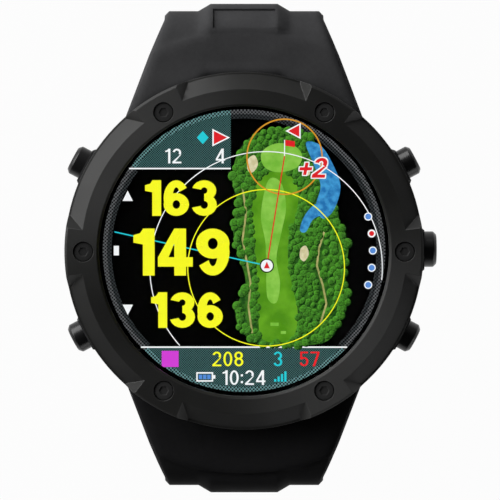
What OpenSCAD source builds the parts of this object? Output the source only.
// Round golf watch with a satellite receiver: six-screw bezel, five pushers, two-piece strap and buckle.
// Millimetres. +Z leaves the dial, +Y points to 12 o'clock, +X to 3 o'clock, and the origin is the
// centre of the case's back face. The strap hangs open below the case and stands on its two ends.

/* [Case] */
// Outer radius of the bezel and of the case's flanks
bezel_r = 24.3; // [24:0.1:25]
// Height from the back face to the top of the bezel
case_h = 14.5; // [14:0.1:15.5]
// Height of the bezel ring
bezel_h = 5.2; // [5:0.1:5.6]
// Width of the bezel's face, from its edge to the opening over the screen
bezel_w = 4.65; // [4.3:0.05:5]
// Thickness of the bezel's lip over the glass
lip_t = 1.55; // [1.3:0.05:1.8]
// Width of the case's wall, from the bezel's edge to the cavity
wall_w = 4.3; // [4.2:0.05:4.4]
// Thickness of the collar that rises inside the bezel
collar_t = 0.6; // [0.5:0.05:0.7]
// How far the case stands back from the bezel's edge between the strap's ends
core_inset = 1.4; // [1.3:0.05:1.6]
// Depth of the flats at the 12 and 6 o'clock ends of the case's core
core_flat = 1.5; // [1.4:0.1:2.1]
// How far the ends of the case's flanks stand back from the bezel's edge, along Y
flank_inset = 7.0; // [6.9:0.1:8.3]
// Width and height of the chamfer round the case's bottom edge
foot_chamfer = 2.0; // [1.5:0.1:2.2]

/* [Bezel facets] */
// Width of a facet, up to the bezel's edge
facet_w = 2.3; // [1.9:0.05:2.5]
// How far a facet drops at its outer edge
facet_drop = 2.0; // [1.4:0.1:2.4]
// Width of the flat rim left outside a facet
rim_w = 0.3; // [0.2:0.05:0.5]
// Half angle of a facet at the top, in degrees
facet_half = 22.3; // [19:0.1:23]
// Lean of a facet's end walls, in degrees
facet_end_lean = 39; // [25:1:45]
// Size of the small bevels on the bezel's edges
bezel_bevel = 0.3; // [0.2:0.05:0.4]

/* [Bezel screws] */
// Number of bezel screws
screw_count = 6; // [6]
// Distance of the screws from the bezel's edge
screw_inset = 2.55; // [2.45:0.05:2.65]
// Radius of a screw's head
screw_head_r = 1.26; // [1.1:0.02:1.3]
// Height of a screw's head
screw_head_h = 1.15; // [1:0.05:1.25]
// Depth of the head's top below the bezel's top
screw_sink = 0.15; // [0.05:0.05:0.2]
// Radius of a screw's shank
screw_shank_r = 0.6; // [0.5:0.02:0.62]
// Metal left between a screw's end and the seal of the middle pusher
screw_web = 0.55; // [0.45:0.05:0.7]
// Radius over the corners of the hex socket
socket_r = 0.88; // [0.7:0.02:0.9]
// Depth of the hex socket
socket_depth = 0.5; // [0.4:0.05:0.7]

/* [Screen] */
// Thickness of the glass at its clamped rim
glass_rim_t = 0.9; // [0.7:0.05:1]
// Rise of the glass above its rim
glass_rise = 0.9; // [0.7:0.05:1]
// Thickness of the glass gasket
gasket_t = 0.4; // [0.3:0.05:0.5]
// Thickness of the display panel
panel_t = 1.6; // [1.4:0.1:1.7]
// Thickness of the panel tray's wall
tray_wall = 0.6; // [0.5:0.05:0.7]
// Thickness of the panel tray's floor
tray_t = 0.4; // [0.3:0.05:0.5]
// Width of the display's flat cable
flex_w = 8; // [6:0.5:10]
// Thickness of the display's flat cable
flex_t = 0.2; // [0.15:0.05:0.3]
// Distance of the flat cable's bend from the case's wall
flex_inset = 3.4; // [2.6:0.1:4]

/* [Electronics] */
// Gap round the main board
board_gap = 1.2; // [1.1:0.1:1.6]
// Thickness of the main board
board_t = 0.8; // [0.6:0.1:0.9]
// Height of the shield can on the board
shield_h = 1.2; // [1.1:0.1:1.3]
// Shield can's length and width
shield_size = 15; // [12:0.5:17]
// Thickness of the shield can's sheet
shield_t = 0.25; // [0.2:0.05:0.3]
// Distance of the board's screws from the case's wall
standoff_inset = 2.0; // [1.9:0.05:2.3]
// Radius of a standoff
standoff_r = 1.5; // [1.3:0.05:1.6]
// Half angle between the standoffs each side of the 12 and 6 o'clock line, in degrees
standoff_half = 30; // [27:1:33]
// Radius of a board screw's head
board_head_r = 0.75; // [0.7:0.02:0.76]
// Height of a board screw's head
board_head_h = 0.6; // [0.4:0.05:0.7]
// Radius of a board screw's shank
board_shank_r = 0.45; // [0.4:0.02:0.5]
// Length of a board screw's shank
board_shank_l = 3.0; // [2.4:0.1:3.2]
// Length of the battery along X
battery_l = 22; // [18:0.5:23]
// Gap between the battery and what stands at its 12 and 6 o'clock ends
battery_gap = 1.3; // [0.8:0.1:2]
// Radius of the battery's corners
battery_corner_r = 1; // [0.6:0.1:1.4]
// Thickness of the battery
battery_t = 4.2; // [3.6:0.1:4.4]
// Thickness of the battery's foam pad
battery_pad_t = 0.5; // [0.3:0.1:0.6]
// How far the foam pad stands back from the battery's edges
battery_pad_inset = 1; // [0.5:0.1:1.5]
// Side of the square satellite antenna
antenna_w = 8; // [6:0.5:8]
// Thickness of the satellite antenna
antenna_t = 3; // [2.5:0.1:3.2]
// Radius of the vibration motor
motor_r = 4; // [3.5:0.1:4]
// Thickness of the vibration motor
motor_t = 2.8; // [2.4:0.1:3]
// Distance of the antenna's and the motor's middle from the case's wall
end_parts_inset = 6.2; // [6.1:0.05:6.4]
// Width of a side switch along the wall
switch_w = 3.2; // [2.6:0.1:3.6]
// Depth of a side switch along the radius
switch_d = 1.8; // [1.4:0.1:2]
// How far a side switch reaches below the pushers' axis
switch_below = 1.4; // [0.9:0.1:1.6]

/* [Back] */
// Thickness of the back cover at its rim
back_rim_t = 1.0; // [0.9:0.05:1.1]
// How far the middle of the back stands below its rim
back_dish = 0.4; // [0.3:0.05:0.5]
// Distance of the flat that lies on the wrist from the bezel's edge
back_flat_inset = 8.3; // [8.1:0.1:10.3]
// Gap between the cover's edge and the case's bottom edge
back_margin = 0.3; // [0.2:0.05:0.5]
// Distance of the cover's plug from the bezel's edge
plug_inset = 6.9; // [6.8:0.05:7.1]
// Wall of the cover's plug
plug_wall = 1.2; // [1:0.1:1.3]
// Height of the cover's plug
plug_h = 1.0; // [0.8:0.1:1.2]
// Height of the case's flange over the cover
flange_h = 2.2; // [2:0.1:2.4]
// Width of the back gasket
back_gasket_w = 0.6; // [0.5:0.05:0.7]
// Height of the back gasket
back_gasket_t = 0.45; // [0.35:0.05:0.5]
// Distance of the cover's screws from the bezel's edge
back_screw_inset = 4.2; // [4.1:0.05:4.3]
// Radius of a cover screw's head
back_head_r = 0.95; // [0.85:0.02:1]
// Height of a cover screw's head
back_head_h = 0.45; // [0.35:0.05:0.5]
// Radius of a cover screw's shank
back_shank_r = 0.45; // [0.4:0.02:0.5]
// Length of a cover screw's shank
back_shank_l = 2.0; // [1.6:0.1:2.2]
// Radius of a charging contact
contact_r = 0.8; // [0.6:0.05:0.9]
// Spacing of the charging contacts
contact_pitch = 2.54; // [2.2:0.02:2.8]
// Distance of the charging contacts from the cover's plug
contact_inset = 5.8; // [5.4:0.1:6.8]
// Length of a charging contact
contact_l = 2.4; // [2:0.1:2.6]

/* [Pushers] */
// Angle of the upper and lower pushers from the 3 and 9 o'clock line, in degrees
button_angle = 28; // [26:0.5:29]
// Width of the guard over and under a corner pusher's cap
cap_margin = 1.12; // [1.1:0.02:1.3]
// Width of the guard over and under the middle pusher's cap
middle_cap_margin = 0.75; // [0.7:0.05:1]
// How far a corner pusher stands out of its guard
cap_out = 1.95; // [1.8:0.05:2.1]
// How far the middle pusher stands out of its guard
middle_cap_out = 1.75; // [1.6:0.05:1.9]
// Bevel round a cap's face
cap_bevel = 0.45; // [0.3:0.05:0.5]
// Depth of the dish in a cap's face
dish_depth = 0.1; // [0.06:0.02:0.14]
// Radius of the ball that shapes the dish
dish_ball_r = 12; // [10:0.5:13]
// Travel of a pusher
button_travel = 0.6; // [0.4:0.05:0.6]
// Length of the cap inside its guard
cap_in = 0.9; // [0.8:0.05:1]
// Radius of a pusher's stem
stem_r = 0.9; // [0.8:0.02:0.92]
// How far the guards' flat faces stand out of the bezel's edge
guard_out = 0.35; // [0.3:0.05:0.5]
// Half width of a guard
guard_half_w = 3.0; // [2.8:0.05:3.2]
// Height of a guard's lower edge over the back face
guard_foot = 2.6; // [2.5:0.05:2.8]
// Gap between a guard's upper edge and the bezel
guard_top_gap = 0.3; // [0.2:0.05:0.4]
// Chamfer on a guard's corners
guard_chamfer = 0.9; // [0.6:0.1:1.2]
// Size of a guard's corners as seen from the dial
guard_corner = 0.7; // [0.4:0.05:0.8]
// Outer radius of a stem seal
seal_r = 1.55; // [1.4:0.05:1.6]
// Length of a stem seal
seal_l = 1.0; // [0.8:0.1:1.1]
// Outer radius of a stem's retaining clip
clip_r = 1.4; // [1.3:0.05:1.45]
// Thickness of a retaining clip
clip_t = 0.3; // [0.25:0.05:0.35]
// Depth of the clip's groove in the stem
clip_groove = 0.3; // [0.2:0.05:0.35]
// Length of the stem past its clip
stem_tail = 0.2; // [0.1:0.05:0.25]

/* [Strap root] */
// Distance of the strap's pivot from the bezel's edge
pivot_out = 1.3; // [1.2:0.05:1.4]
// Depth of the strap's pivot below the bezel
pivot_drop = 2.5; // [2.4:0.05:2.6]
// Radius of the case's lug barrel
lug_r = 1.35; // [1.25:0.05:1.4]
// Half length of the lug barrel
lug_half = 5.5; // [4.5:0.1:6]
// Top of the lug's neck below the pivot
neck_drop = 0.3; // [0.25:0.05:0.4]
// Radius of the strap's spring bar
spring_bar_r = 0.75; // [0.6:0.05:0.8]
// Half length of the strap's spring bar
spring_bar_half = 9; // [8:0.1:10]
// How far the strap opens outward, in degrees
strap_open = 45; // [30:1:45]
// Depth of the strap's flat top below the bezel
strap_drop = 0.25; // [0.2:0.05:0.4]
// Thickness of the strap at the case
root_t = 5.15; // [5:0.05:5.4]
// Gap between the case's flanks and the strap's wings
wing_gap = 0.6; // [0.5:0.05:0.9]
// How far the wings' corners stand in from the bezel's edge, along X
wing_inset = 8.0; // [7.7:0.1:8.8]
// Distance from the pivot to where the strap reaches its own width
taper_l = 6.4; // [5.4:0.1:6.9]
// Gap between the case's core and the strap's hollow end
root_gap = 0.8; // [0.75:0.05:0.9]
// Length of the strap's flat top past the pivot
flat_l = 1.0; // [0.6:0.1:1.2]
// Slope of the strap after its flat top, in degrees
shoulder_angle = 12; // [8:1:14]
// Length of the sloping stretch
shoulder_l = 2.6; // [2.2:0.1:2.8]
// Outer radius of the bend down to the wrist
bend_r = 4.5; // [4.3:0.1:4.8]
// Distance from the pivot to the ridge on the upper strap
upper_crease = 4.05; // [3.6:0.05:4.4]
// Distance from the pivot to the ridge on the lower strap
lower_crease = 5.0; // [4.4:0.05:5.1]
// Distance from the pivot to the foot of both ridges
crease_foot = 5.5; // [5.3:0.05:5.6]
// Height of the slope under both ridges
crease_h = 1.65; // [1.4:0.05:1.7]

/* [Strap] */
// Width of the strap
strap_w = 21.8; // [20:0.1:22]
// Thickness of the strap
strap_t = 3.2; // [2.8:0.1:3.4]
// Size of the bevels on the strap's edges
strap_bevel = 0.6; // [0.4:0.05:0.8]
// Radius of the strap's long curve
leg_r = 110; // [105:1:120]
// Angle that the long curve turns, in degrees
leg_angle = 15; // [14:0.5:16]
// Length of the upper strap's straight end
upper_straight = 28; // [27:0.5:30]
// Radius of the lower strap's curl
curl_r = 14; // [13.5:0.1:14.5]
// Gap between the lower strap's tip and the buckle
tip_gap = 3.56; // [3.1:0.02:5]
// Radius of the rounding at the strap's tip
tip_r = 14; // [12:0.5:15]
// Radius of a strap hole
hole_r = 1.15; // [1:0.05:1.3]
// Spacing of the strap holes
hole_pitch = 6.5; // [6:0.1:7]
// Number of strap holes
hole_count = 8; // [7:1:8]
// Distance from the tip to the first hole
hole_first = 6; // [5.5:0.1:7]
// Height of the raised middle of the strap
pad_h = 1.0; // [0.8:0.05:1]
// Width of the raised middle at its top
pad_top_w = 9.2; // [8.4:0.1:9.6]
// Width of the raised middle at its base
pad_base_w = 12.6; // [11.6:0.1:13.5]
// Angle of the long curve that the raised middle covers, in degrees
pad_angle = 9; // [7:0.5:10]
// How far before the ridge the raised middle starts
pad_lead = 0.95; // [0.8:0.05:1.1]
// Length over which it rises to its full height
pad_rise = 1.4; // [1.2:0.05:1.6]
// Length of the ramp at the raised middle's lower end
pad_ramp = 2; // [1.5:0.1:2.5]
// Width of the panel sunk into the upper strap
panel_recess_w = 8.5; // [7.5:0.1:8.6]
// Depth of the sunk panel
panel_recess_d = 0.3; // [0.2:0.05:0.4]
// Start of the sunk panel round the bend, in degrees
panel_recess_from = 30; // [26:1:34]
// End of the sunk panel round the bend, in degrees
panel_recess_to = 67; // [60:1:68]

/* [Keepers] */
// Length of a keeper along the strap
keeper_l = 5; // [4:0.5:5.5]
// Wall of a keeper
keeper_wall = 1.2; // [1:0.1:1.3]
// Room for the strap's tail inside a keeper
keeper_room = 3.6; // [3.5:0.1:3.8]
// Gap between the free keeper and the strap
keeper_gap = 0.25; // [0.2:0.05:0.3]
// Place of the fixed keeper along the straight end
fixed_keeper_at = 19; // [18.8:0.1:19]
// Place of the free keeper along the straight end
free_keeper_at = 8; // [7.5:0.5:9]

/* [Buckle] */
// Radius of the strap's barrel round the buckle bar
barrel_r = 2.2; // [2.1:0.05:2.3]
// Radius of the buckle bar
bar_r = 0.8; // [0.7:0.05:0.85]
// Gap between the strap's edge and a buckle arm
buckle_gap = 0.4; // [0.35:0.05:0.6]
// Width of a buckle arm
arm_w = 2.0; // [1.8:0.1:2.4]
// Thickness of the buckle
buckle_t = 2.2; // [2:0.1:2.3]
// Distance from the bar to the far side of the crossbar
buckle_l = 12.1; // [11.8:0.1:12.3]
// Width of the crossbar
crossbar_w = 2.8; // [2.4:0.1:3]
// Radius of the buckle's outer corners
buckle_corner_r = 3; // [2:0.1:3.5]
// Radius of the eyes round the bar
eye_r = 1.7; // [1.6:0.05:1.8]
// Depth of the crossbar's notch for the tongue
notch_d = 0.7; // [0.6:0.05:0.75]
// Width of the tongue
tongue_w = 2.2; // [2:0.1:2.4]
// Thickness of the tongue
tongue_t = 1.3; // [1.2:0.05:1.4]
// Length of the tongue from the bar
tongue_l = 12.5; // [12.3:0.1:12.6]
// Radius of the tongue's ring
tongue_ring_r = 1.75; // [1.65:0.05:1.85]
// Lean of the buckle at rest, in degrees
buckle_lean = 0.6; // [0.4:0.1:0.7]

/* [Fits] */
// Gap of a running fit, on the radius
run_gap = 0.05; // [0.03:0.01:0.08]
// Gap between pieces that are clamped or screwed together
seat_gap = 0.05; // [0.03:0.01:0.08]
// Gap between the bezel and what stands inside it
bezel_gap = 0.1; // [0.06:0.01:0.15]
// Gap beside the lug, the tongue and other pieces that turn past each other
side_gap = 0.15; // [0.12:0.01:0.25]

/* [Hidden] */
$fn = 96;
far = 60; // longer than anything it cuts
cut = 1; // how far a cut runs past a face

// Radii of the case, and heights of the stack from the bezel's top down
opening_r = bezel_r - bezel_w;
cavity_r = bezel_r - wall_w;
core_r = bezel_r - core_inset;
core_y = core_r - core_flat;
flank_y = bezel_r - flank_inset;
facet_r = bezel_r - facet_w;
screw_circle_r = bezel_r - screw_inset;
bezel_z = case_h - bezel_h;
ledge_z = case_h - lip_t;
glass_z = ledge_z - seat_gap - glass_rim_t;
collar_z = glass_z - gasket_t;
panel_z = collar_z - panel_t;
tray_z = panel_z - tray_t;
board_top = tray_z - shield_h;
board_z = board_top - board_t;
board_r = cavity_r - board_gap;
standoff_circle_r = cavity_r - standoff_inset;
flex_y = cavity_r - flex_inset;
end_parts_y = cavity_r - end_parts_inset;
battery_w = 2 * (end_parts_y - motor_r - battery_gap);
back_t = back_rim_t + back_dish;
back_flat_r = bezel_r - back_flat_inset;
back_screw_circle_r = bezel_r - back_screw_inset;
plug_r = bezel_r - plug_inset;
contact_y = plug_r - contact_inset;
collar_r = cavity_r + collar_t;
bezel_inner_r = collar_r + bezel_gap;
head_z = case_h - screw_sink - screw_head_h;
foot_r = bezel_r - foot_chamfer;
cover_r = core_r - foot_chamfer / 2 - back_margin;
flange_r = plug_r + bezel_gap;
gasket_mid_r = flange_r + back_gasket_w;

// Pushers, along the radius
guard_r = bezel_r + guard_out;
guard_half_h = (bezel_z - guard_top_gap - guard_foot) / 2;
button_z = guard_foot + guard_half_h;
cap_r = guard_half_h - cap_margin;
middle_cap_r = guard_half_h - middle_cap_margin;
cap_seat_r = guard_r - cap_in - button_travel - side_gap;
clip_outer_r = cavity_r - side_gap;
stem_tip_r = clip_outer_r - clip_t - stem_tail;
switch_face_r = stem_tip_r - button_travel - seat_gap;
switch_h = board_z - button_z + switch_below;
screw_reach = bezel_z - button_z - seal_r - screw_web;
button_angles = [button_angle, 0, -button_angle, 180 + button_angle, 180 - button_angle];

// The strap's side view, as [y, z], with the +Y half drawn
pivot_y = bezel_r + pivot_out;
pivot_z = bezel_z - pivot_drop;
strap_top = bezel_z - strap_drop;
root_z = strap_top - root_t;
wing_y = flank_y + wing_gap;
wing_half = bezel_r - wing_inset;
taper_y = pivot_y + taper_l;
flat_end_y = pivot_y + flat_l;
shoulder_end = [flat_end_y, strap_top] + shoulder_l * [cos(shoulder_angle), -sin(shoulder_angle)];
bend_c = shoulder_end - bend_r * [sin(shoulder_angle), cos(shoulder_angle)];
horizon_y = bend_c[0] + bend_r;
leg_c = [horizon_y - leg_r, bend_c[1]];
leg_end = leg_c + leg_r * [cos(leg_angle), -sin(leg_angle)];
heading = -90 - leg_angle;
inward = [-cos(leg_angle), sin(leg_angle)];
along_leg = [cos(heading), sin(heading)];
bar = leg_end + upper_straight * along_leg + strap_t / 2 * inward;
floor_z = bar[1] - barrel_r;
lower_straight = (leg_end[1] - floor_z - curl_r * (1 - sin(leg_angle))) / cos(leg_angle);
curl_c = leg_end + lower_straight * along_leg + curl_r * inward;
curl_angle = 90 - leg_angle;
curl_l = curl_r * curl_angle * PI / 180;
tail_l = curl_c[0] + bar[0] - buckle_l - tip_gap;
fillet_r = strap_t / 2;
fillet_c = [horizon_y - strap_t - fillet_r, root_z - fillet_r];
base_share = 0.9; // the most of the flat face that the raised middle's base may take
top_share = 0.7; // the same for its top
tip_start = acos(strap_w / 2 / tip_r);
tip_end = 80;
bend_steps = 13;
leg_steps = 10;
curl_steps = 15;
tip_steps = 8;
buckle_inner_w = strap_w + 2 * buckle_gap;
tongue_lean = asin((buckle_t / 2 - notch_d + seat_gap + tongue_t / 2) / (buckle_l - crossbar_w));

// ---- helpers ----

// Draws a side view: its x is the part's Y, its y is the part's Z, and it is w thick about X = 0
module side(w) {
    rotate([90, 0, 90]) linear_extrude(w, center = true) children();
}

// Puts a solid that is built in the side view's plane into the part
module from_side() {
    rotate([90, 0, 90]) children();
}

// A section's x is the depth below the strap's outer face and its y runs across the strap
module straight(from, angle, l) {
    from_side() translate([from[0], from[1], 0]) rotate([0, 0, angle])
        rotate([-90, 0, 0]) rotate([0, 90, 0]) linear_extrude(l) children();
}

module arc(centre, r, start, angle) {
    from_side() translate([centre[0], centre[1], 0]) rotate([0, 0, start])
        rotate_extrude(angle = angle) translate([r, 0]) mirror([1, 0]) children();
}

module rounded(x, y, r) {
    square([x - 2 * r, y], center = true);
    square([x, y - 2 * r], center = true);
    for (i = [-1, 1], j = [-1, 1]) translate([i * (x / 2 - r), j * (y / 2 - r)]) circle(r);
}

module ring(r_in, r_out, z, h) {
    translate([0, 0, z]) difference() {
        cylinder(r = r_out, h = h);
        translate([0, 0, -cut]) cylinder(r = r_in, h = h + 2 * cut);
    }
}

module pin(r, half, y, z) {
    translate([0, y, z]) rotate([0, 90, 0]) cylinder(r = r, h = 2 * half, center = true);
}

module around(count, r, first = 0) {
    for (i = [0 : count - 1]) rotate([0, 0, first + i * 360 / count]) translate([r, 0, 0]) children();
}

module at_standoffs() {
    for (a = [90, 270], s = [-1, 1]) rotate([0, 0, a + s * standoff_half]) children();
}

// Local z runs outward along the pusher's axis
module on_button(angle) {
    rotate([0, 0, angle]) translate([0, 0, button_z]) rotate([0, 90, 0]) children();
}

// ---- case ----

module flanks() {
    intersection() {
        rotate_extrude() polygon([
            [0, back_t], [foot_r, back_t], [bezel_r, back_t + foot_chamfer], [bezel_r, bezel_z], [0, bezel_z]
        ]);
        translate([-far, -flank_y, 0]) cube([2 * far, 2 * flank_y, far]);
    }
}

module core() {
    rotate_extrude() polygon([
        [0, back_t], [core_r - foot_chamfer / 2, back_t], [core_r, back_t + foot_chamfer / 2],
        [core_r, bezel_z], [0, bezel_z]
    ]);
}

module guard_shape(half_w) {
    h = guard_half_h;
    c = guard_chamfer;
    polygon([
        [-h, c - half_w], [c - h, -half_w], [h - c, -half_w], [h, c - half_w],
        [h, half_w - c], [h - c, half_w], [c - h, half_w], [-h, half_w - c]
    ]);
}

module guard(i) {
    w = guard_half(i);
    c = guard_corner;
    intersection() {
        on_button(button_angles[i]) linear_extrude(guard_r) guard_shape(w);
        rotate([0, 0, button_angles[i]]) linear_extrude(far) polygon([
            [0, -w], [guard_r - c, -w], [guard_r, c - w], [guard_r, w - c], [guard_r - c, w], [0, w]
        ]);
    }
}

function guard_half(i) = guard_half_w + (i == 1 ? middle_cap_r - cap_r : 0);
function cap_radius(i) = i == 1 ? middle_cap_r : cap_r;
function cap_reach(i) = i == 1 ? middle_cap_out : cap_out;

module lug(turn) {
    rotate([0, 0, turn]) side(2 * lug_half) {
        translate([pivot_y, pivot_z]) circle(lug_r);
        translate([cavity_r + collar_t, pivot_z - lug_r])
            square([pivot_y - cavity_r - collar_t, lug_r - neck_drop]);
    }
}

module mid_case() color([0.16, 0.16, 0.17]) difference() {
    union() {
        difference() {
            union() {
                flanks();
                intersection() {
                    core();
                    cube([2 * far, 2 * core_y, 2 * far], center = true);
                }
                for (i = [0 : 4]) guard(i);
                ring(cavity_r, collar_r, bezel_z - cut, collar_z - bezel_z + cut);
            }
            translate([0, 0, back_t + flange_h]) cylinder(r = cavity_r, h = far);
            cylinder(r = flange_r, h = far);
        }
        at_standoffs() translate([standoff_circle_r, 0, back_t + flange_h - cut])
            linear_extrude(board_z - back_t - flange_h + cut) {
                circle(standoff_r);
                translate([0, -standoff_r]) square([standoff_inset + collar_t, 2 * standoff_r]);
            }
        for (turn = [0, 180]) lug(turn);
    }
    around(screw_count, screw_circle_r) translate([0, 0, bezel_z - screw_reach - side_gap])
        cylinder(r = screw_shank_r + run_gap, h = far);
    at_standoffs() translate([standoff_circle_r, 0, board_top - board_shank_l - side_gap])
        cylinder(r = board_shank_r + run_gap, h = far);
    around(4, back_screw_circle_r, 45)
        cylinder(r = back_shank_r + run_gap, h = back_t + back_shank_l + side_gap);
    ring(gasket_mid_r - back_gasket_w / 2 - run_gap, gasket_mid_r + back_gasket_w / 2 + run_gap,
         back_t - cut, back_gasket_t + cut + run_gap);
    for (i = [0 : 4]) on_button(button_angles[i]) {
        translate([0, 0, cap_seat_r]) cylinder(r = cap_radius(i) + 2 * run_gap, h = far);
        translate([0, 0, cap_seat_r - seal_l]) cylinder(r = seal_r + run_gap, h = far);
        cylinder(r = stem_r + run_gap, h = far);
    }
    for (s = [-1, 1]) pin(spring_bar_r + run_gap, far, s * pivot_y, pivot_z);
}

module facet() {
    difference() {
        rotate([0, 0, -180 / screw_count]) rotate_extrude(angle = 360 / screw_count) polygon([
            [facet_r, case_h], [bezel_r - rim_w, case_h - facet_drop], [bezel_r + cut, case_h - facet_drop],
            [bezel_r + cut, case_h + cut], [facet_r, case_h + cut]
        ]);
        for (s = [-1, 1]) rotate([0, 0, s * facet_half]) translate([0, 0, case_h])
            rotate([-s * facet_end_lean, 0, 0]) translate([0, s > 0 ? 0 : -far, -far / 2]) cube(far);
    }
}

module bezel() color([0.20, 0.20, 0.21]) difference() {
    rotate_extrude() polygon([
        [bezel_inner_r, bezel_z], [bezel_r, bezel_z], [bezel_r, case_h - bezel_bevel],
        [bezel_r - bezel_bevel, case_h], [opening_r + bezel_bevel, case_h],
        [opening_r, case_h - bezel_bevel], [opening_r, ledge_z], [bezel_inner_r, ledge_z]
    ]);
    around(screw_count, 0, 180 / screw_count) facet();
    around(screw_count, screw_circle_r) {
        translate([0, 0, head_z]) cylinder(r = screw_head_r + bezel_gap, h = far);
        cylinder(r = screw_shank_r + run_gap, h = far);
    }
}

module bezel_screws() color([0.30, 0.30, 0.31]) around(screw_count, screw_circle_r) difference() {
    union() {
        translate([0, 0, head_z]) rotate_extrude() polygon([
            [0, 0], [screw_head_r, 0], [screw_head_r, screw_head_h - bezel_bevel / 2],
            [screw_head_r - bezel_bevel / 2, screw_head_h], [0, screw_head_h]
        ]);
        translate([0, 0, bezel_z - screw_reach])
            cylinder(r = screw_shank_r, h = head_z - bezel_z + screw_reach);
    }
    translate([0, 0, head_z + screw_head_h - socket_depth]) cylinder(r = socket_r, h = far, $fn = 6);
}

// ---- screen ----

module cover_glass() color([0.05, 0.05, 0.06]) rotate_extrude() polygon([
    [0, glass_z], [collar_r, glass_z], [collar_r, glass_z + glass_rim_t],
    [opening_r - side_gap, glass_z + glass_rim_t],
    [opening_r - side_gap, glass_z + glass_rim_t + glass_rise - bezel_bevel],
    [opening_r - side_gap - bezel_bevel, glass_z + glass_rim_t + glass_rise],
    [0, glass_z + glass_rim_t + glass_rise]
]);

module glass_gasket() color([0.08, 0.08, 0.08])
    ring(cavity_r + run_gap, collar_r - run_gap, collar_z, gasket_t);

module display_panel() color([0.03, 0.03, 0.04]) translate([0, 0, panel_z])
    cylinder(r = cavity_r - run_gap - tray_wall - run_gap, h = panel_t);

module panel_tray() color([0.35, 0.36, 0.38]) difference() {
    translate([0, 0, tray_z]) cylinder(r = cavity_r - run_gap, h = tray_t + panel_t - seat_gap);
    translate([0, 0, panel_z]) cylinder(r = cavity_r - run_gap - tray_wall, h = far);
    translate([0, flex_t / 2 - flex_y, 0])
        linear_extrude(far) square([flex_w + 2 * side_gap, flex_t + 4 * side_gap], center = true);
}

module display_flex() color([0.75, 0.50, 0.15]) side(flex_w) {
    translate([-flex_y, board_top]) square([flex_t, panel_z - board_top]);
    translate([-flex_y, board_top]) square([flex_y - shield_size / 2 - side_gap, flex_t]);
}

// ---- electronics ----

module main_board() color([0.05, 0.25, 0.12]) difference() {
    translate([0, 0, board_z]) cylinder(r = board_r, h = board_t);
    at_standoffs() translate([standoff_circle_r, 0, 0]) cylinder(r = board_shank_r + run_gap, h = far);
    for (a = [0, 180]) rotate([0, 0, a]) translate([board_r - cut, -cut, 0]) cube([far, 2 * cut, far]);
}

module board_screws() color([0.70, 0.70, 0.72]) at_standoffs() translate([standoff_circle_r, 0, 0]) {
    translate([0, 0, board_top]) cylinder(r = board_head_r, h = board_head_h);
    translate([0, 0, board_top - board_shank_l]) cylinder(r = board_shank_r, h = board_shank_l);
}

module shield_can() color([0.72, 0.73, 0.75]) difference() {
    translate([0, 0, board_top + shield_h / 2]) cube([shield_size, shield_size, shield_h], center = true);
    translate([0, 0, board_top + (shield_h - shield_t) / 2 - cut / 2])
        cube([shield_size - 2 * shield_t, shield_size - 2 * shield_t, shield_h - shield_t + cut],
            center = true);
}

module battery() color([0.55, 0.57, 0.60]) translate([0, 0, back_t + battery_pad_t])
    linear_extrude(battery_t) rounded(battery_l, battery_w, battery_corner_r);

module battery_pad() color([0.10, 0.10, 0.10]) translate([0, 0, back_t])
    linear_extrude(battery_pad_t)
        rounded(battery_l - 2 * battery_pad_inset, battery_w - 2 * battery_pad_inset, battery_corner_r);

module satellite_antenna() color([0.80, 0.76, 0.62]) translate([0, end_parts_y, board_z - antenna_t]) {
    translate([-antenna_w / 2, -antenna_w / 2, 0]) cube([antenna_w, antenna_w, antenna_t]);
}

module vibration_motor() color([0.65, 0.66, 0.68]) translate([0, -end_parts_y, board_z - motor_t])
    cylinder(r = motor_r, h = motor_t);

module side_switches() color([0.25, 0.25, 0.27]) for (a = button_angles) rotate([0, 0, a])
    translate([switch_face_r - switch_d, -switch_w / 2, board_z - switch_h])
        cube([switch_d, switch_w, switch_h]);

// ---- back ----

module back_cover() color([0.14, 0.14, 0.15]) difference() {
    rotate_extrude() polygon([
        [0, 0], [back_flat_r, 0], [back_flat_r + 2 * back_dish, back_dish], [cover_r - back_dish, back_dish],
        [cover_r, 2 * back_dish], [cover_r, back_t], [plug_r, back_t], [plug_r, back_t + plug_h],
        [plug_r - plug_wall, back_t + plug_h], [plug_r - plug_wall, back_t], [0, back_t]
    ]);
    around(4, back_screw_circle_r, 45) {
        translate([0, 0, -cut])
            cylinder(r = back_head_r + bezel_gap, h = cut + back_dish + back_head_h + seat_gap);
        cylinder(r = back_shank_r + run_gap, h = far);
    }
    for (i = [-1.5 : 1.5]) translate([i * contact_pitch, -contact_y, -cut])
        cylinder(r = contact_r + run_gap, h = far);
}

module back_gasket() color([0.35, 0.12, 0.10])
    ring(gasket_mid_r - back_gasket_w / 2, gasket_mid_r + back_gasket_w / 2, back_t, back_gasket_t);

module back_screws() color([0.55, 0.55, 0.57]) around(4, back_screw_circle_r, 45) difference() {
    union() {
        translate([0, 0, back_dish + seat_gap]) cylinder(r = back_head_r, h = back_head_h);
        translate([0, 0, back_dish + seat_gap]) cylinder(r = back_shank_r, h = back_rim_t + back_shank_l);
    }
    translate([0, 0, back_dish - cut])
        cylinder(r = back_shank_r, h = cut + back_head_h / 2 + seat_gap, $fn = 6);
}

module charging_contacts() color([0.85, 0.68, 0.30]) for (i = [-1.5 : 1.5])
    translate([i * contact_pitch, -contact_y, seat_gap]) cylinder(r = contact_r, h = contact_l);

// ---- pushers ----

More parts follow.
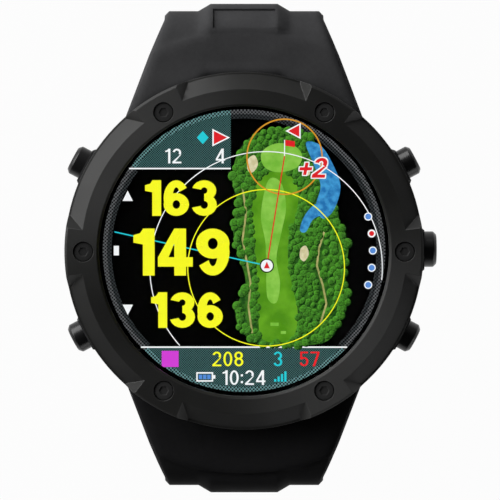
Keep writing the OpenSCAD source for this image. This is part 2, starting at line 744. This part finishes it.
module button(i) color([0.22, 0.22, 0.23]) on_button(button_angles[i]) {
    r = cap_radius(i);
    face = guard_r + cap_reach(i);
    difference() {
        rotate_extrude() polygon([
            [0, guard_r - cap_in], [r, guard_r - cap_in], [r, face - cap_bevel],
            [r - cap_bevel, face], [0, face]
        ]);
        translate([0, 0, face + dish_ball_r - dish_depth]) sphere(dish_ball_r);
    }
    rotate_extrude() polygon([
        [0, stem_tip_r], [stem_r, stem_tip_r], [stem_r, stem_tip_r + stem_tail],
        [stem_r - clip_groove, stem_tip_r + stem_tail], [stem_r - clip_groove, clip_outer_r],
        [stem_r, clip_outer_r], [stem_r, guard_r - cap_in], [0, guard_r - cap_in]
    ]);
}

module clip(i) color([0.75, 0.75, 0.77]) on_button(button_angles[i]) difference() {
    ring(stem_r - clip_groove + run_gap, clip_r, clip_outer_r - clip_t, clip_t);
    translate([-far, -stem_r + clip_groove, 0]) cube([far, 2 * (stem_r - clip_groove), far]);
}

module stem_seals() color([0.10, 0.10, 0.10]) for (a = button_angles) on_button(a)
    ring(stem_r + run_gap, seal_r, cap_seat_r - seal_l, seal_l - run_gap);

// ---- strap ----

// One cross-section of the strap: half width w, raised middle p high, from the outer point o, whose
// normal is n, to the inner point i. Both points are [y, z].
function section(o, n, i, w, p) =
    let (
        b = strap_bevel,
        flat = w - b,
        base = min(pad_base_w / 2, base_share * flat),
        top = min(pad_top_w / 2, top_share * flat),
        skin = [[flat, 0], [w, b], [w, strap_t - b / 2], [w - b / 2, strap_t]],
        half = [[top, -p], [base, 0], for (q = skin) q]
    ) [
        for (k = [5 : -1 : 0]) section_point(o, n, i, -half[k][0], half[k][1]),
        for (k = [0 : 5]) section_point(o, n, i, half[k][0], half[k][1])
    ];

function section_point(o, n, i, u, v) =
    let (q = v < 0 ? o - v * n : o + (i - o) * v / strap_t) [u, q[0], q[1]];

// The strap's half width over the flat top and the bend
function plan_half(y) = lookup(y, [[wing_y, wing_half], [taper_y, strap_w / 2]]);

// The height of the raised middle: up its ramp near a ridge, and down again along the long curve
function pad_up(y, crease_r) =
    let(from = crease_r - pad_lead) lookup(y, [[from, 0], [from + pad_rise, pad_h]]);
function pad_down(a) = lookup(a, [[pad_angle - pad_ramp / leg_r * 180 / PI, pad_h], [pad_angle, 0]]);

function out(a) = [cos(a), -sin(a)];

// The cross-sections from the case to the end of the long curve
function root_sections(crease_r) = [
    for (y = [wing_y, flat_end_y]) section([y, strap_top], [0, 1], [y, root_z], plan_half(y), 0),
    for (k = [0 : bend_steps])
        let (
            n = [sin(shoulder_angle + (90 - shoulder_angle) * k / bend_steps),
                 cos(shoulder_angle + (90 - shoulder_angle) * k / bend_steps)],
            o = bend_c + bend_r * n,
            i = fillet_c + fillet_r * [sin(90 * k / bend_steps), cos(90 * k / bend_steps)]
        ) section(o, n, i, plan_half(o[0]), pad_up(o[0], crease_r)),
    for (a = [2 * leg_angle / leg_steps : leg_angle / leg_steps : leg_angle + 0.001])
        section(leg_c + leg_r * out(a), out(a), leg_c + (leg_r - strap_t) * out(a), strap_w / 2, pad_down(a))
];

// A cross-section on the straight end, at a distance along it
function straight_section(l) =
    section(leg_end + l * along_leg, out(leg_angle), leg_end + l * along_leg + strap_t * inward, strap_w / 2, 0);

// The cross-sections of the lower strap's curl and of the tail that lies flat, up to its round tip
function tail_sections() = [
    for (k = [1 : curl_steps])
        let (n = out(leg_angle + curl_angle * k / curl_steps))
        section(curl_c + curl_r * n, n, curl_c + (curl_r - strap_t) * n, strap_w / 2, 0),
    for (a = [0 : tip_steps])
        let (
            turn = tip_start + (tip_end - tip_start) * a / tip_steps,
            o = [curl_c[0] - tail_l + tip_r - tip_r * sin(turn), floor_z]
        ) section(o, [0, -1], o + [0, strap_t], tip_r * cos(turn), 0)
];

// Skins a list of cross-sections and closes both ends
module loft(sections) {
    n = len(sections[0]);
    last = len(sections) - 1;
    polyhedron(
        points = [for (s = sections, p = s) p],
        faces = [
            [for (k = [0 : n - 1]) k],
            for (r = [0 : last - 1], k = [0 : n - 1])
                [r * n + k, (r + 1) * n + k, (r + 1) * n + (k + 1) % n, r * n + (k + 1) % n],
            [for (k = [n - 1 : -1 : 0]) last * n + k]
        ]
    );
}

// The ridge that runs round the bezel, where the flat top ends
module ridge(crease_r) {
    inset = strap_bevel + run_gap;
    intersection() {
        translate([0, 0, strap_top - crease_h])
            cylinder(r1 = pivot_y + crease_foot, r2 = crease_r, h = crease_h);
        linear_extrude(far) polygon([
            [inset - wing_half, wing_y + cut], [wing_half - inset, wing_y + cut],
            [strap_w / 2 - inset, taper_y], [inset - strap_w / 2, taper_y]
        ]);
    }
}

// What hollows the strap's end for the case's core, its lug and the spring bar
module root_hollow() {
    cylinder(r = core_r + root_gap, h = far);
    side(2 * (lug_half + side_gap)) {
        translate([pivot_y, pivot_z]) circle(lug_r + side_gap);
        translate([pivot_y, pivot_z]) polygon([
            [0, -lug_r - side_gap], [-far, -lug_r - side_gap], [-far, far * tan(strap_open)], [0, 0]
        ]);
    }
    pin(spring_bar_r + run_gap, spring_bar_half + side_gap, pivot_y, pivot_z);
}

module strap_upper() color([0.20, 0.20, 0.22]) difference() {
    union() {
        loft([for (s = root_sections(pivot_y + upper_crease)) s, straight_section(upper_straight)]);
        ridge(pivot_y + upper_crease);
        pin(barrel_r, strap_w / 2, bar[0], bar[1]);
    }
    root_hollow();
    arc(bend_c, bend_r + pad_h + cut, panel_recess_from, panel_recess_to - panel_recess_from)
        translate([0, -panel_recess_w / 2]) square([cut + panel_recess_d, panel_recess_w]);
    pin(bar_r + run_gap, far, bar[0], bar[1]);
    straight(leg_end + (upper_straight - strap_t - run_gap) * along_leg, heading, 3 * barrel_r)
        square([4 * strap_t, tongue_w + 4 * side_gap], center = true);
}

// Puts a cutter on the lower strap's outer face, at a distance up the strap from where it lies flat
module on_tail(d) {
    from_side()
        if (d < 0) translate([curl_c[0] + d, floor_z, 0]) rotate([0, 0, -90]) children();
        else if (d < curl_l) translate([curl_c[0], curl_c[1], 0]) rotate([0, 0, d / curl_l * curl_angle - 90])
            translate([curl_r, 0, 0]) children();
        else translate([leg_end[0], leg_end[1], 0]) rotate([0, 0, heading])
            translate([lower_straight + curl_l - d, 0, 0]) rotate([0, 0, 90]) children();
}

module strap_lower() color([0.12, 0.12, 0.13]) rotate([0, 0, 180]) difference() {
    union() {
        loft([
            for (s = root_sections(pivot_y + lower_crease)) s,
            straight_section(lower_straight),
            for (s = tail_sections()) s
        ]);
        ridge(pivot_y + lower_crease);
    }
    root_hollow();
    for (i = [0 : hole_count - 1]) on_tail(hole_first + i * hole_pitch - tail_l)
        rotate([0, 90, 0]) cylinder(r = hole_r, h = 3 * strap_t, center = true);
}

module keeper(at, gap, under_gap) {
    inner_w = strap_w + 2 * gap;
    depth = keeper_room + strap_t + under_gap;
    straight(leg_end + at * along_leg, heading, keeper_l)
        translate([depth / 2 - keeper_room, 0]) difference() {
            rounded(depth + 2 * keeper_wall, inner_w + 2 * keeper_wall, keeper_wall);
            square([depth, inner_w], center = true);
        }
}

module fixed_keeper() color([0.20, 0.20, 0.22]) keeper(fixed_keeper_at, side_gap, 0);

module free_keeper() color([0.20, 0.20, 0.22]) keeper(free_keeper_at, keeper_gap, keeper_gap);

module spring_bar(y) color([0.75, 0.75, 0.77]) pin(spring_bar_r, spring_bar_half, y, pivot_z);

// ---- buckle ----

module at_bar(lean) {
    translate([0, bar[0], bar[1]]) rotate([lean, 0, 0]) children();
}

module buckle_bar() color([0.75, 0.75, 0.77])
    pin(bar_r, buckle_inner_w / 2 + arm_w - 2 * side_gap - bar_r, bar[0], bar[1]);

module buckle_frame() color([0.30, 0.30, 0.32]) at_bar(buckle_lean) difference() {
    union() {
        translate([0, 0, -buckle_t / 2]) linear_extrude(buckle_t) difference() {
            translate([0, -buckle_l / 2]) rounded(buckle_inner_w + 2 * arm_w, buckle_l, buckle_corner_r);
            translate([-buckle_inner_w / 2, crossbar_w - buckle_l]) square([buckle_inner_w, far]);
        }
        for (s = [-1, 1]) translate([s * (buckle_inner_w + arm_w) / 2, 0, 0]) {
            rotate([0, 90, 0]) cylinder(r = eye_r, h = arm_w, center = true);
            translate([-arm_w / 2, -buckle_corner_r - eye_r, -buckle_t / 2])
                cube([arm_w, buckle_corner_r + eye_r, buckle_t]);
        }
    }
    pin(bar_r + run_gap, buckle_inner_w / 2 + arm_w - 2 * side_gap - bar_r + run_gap, 0, 0);
    translate([-tongue_w / 2 - side_gap, -far, notch_d - buckle_t / 2 - far])
        cube([tongue_w + 2 * side_gap, far, far]);
}

module buckle_tongue() color([0.30, 0.30, 0.32]) at_bar(buckle_lean + tongue_lean) difference() {
    union() {
        pin(tongue_ring_r, tongue_w / 2, 0, 0);
        side(tongue_w) polygon([
            [0, tongue_t / 2], [tongue_t / 2 - tongue_l, tongue_t / 2], [-tongue_l, 0],
            [tongue_t / 4 - tongue_l, -tongue_t / 2], [0, -tongue_t / 2]
        ]);
    }
    pin(bar_r + run_gap, far, 0, 0);
}

// ---- the assembly ----

mid_case();
bezel();
bezel_screws();
cover_glass();
glass_gasket();
display_panel();
panel_tray();
display_flex();
main_board();
board_screws();
shield_can();
battery();
battery_pad();
satellite_antenna();
vibration_motor();
side_switches();
back_cover();
back_gasket();
back_screws();
charging_contacts();
stem_seals();
button(0);  // button_2_oclock
button(1);  // button_3_oclock
button(2);  // button_4_oclock
button(3);  // button_8_oclock
button(4);  // button_10_oclock
clip(0);  // clip_2_oclock
clip(1);  // clip_3_oclock
clip(2);  // clip_4_oclock
clip(3);  // clip_8_oclock
clip(4);  // clip_10_oclock
spring_bar(pivot_y);  // upper_spring_bar
spring_bar(-pivot_y);  // lower_spring_bar
strap_upper();
strap_lower();
fixed_keeper();
free_keeper();
buckle_bar();
buckle_frame();
buckle_tongue();
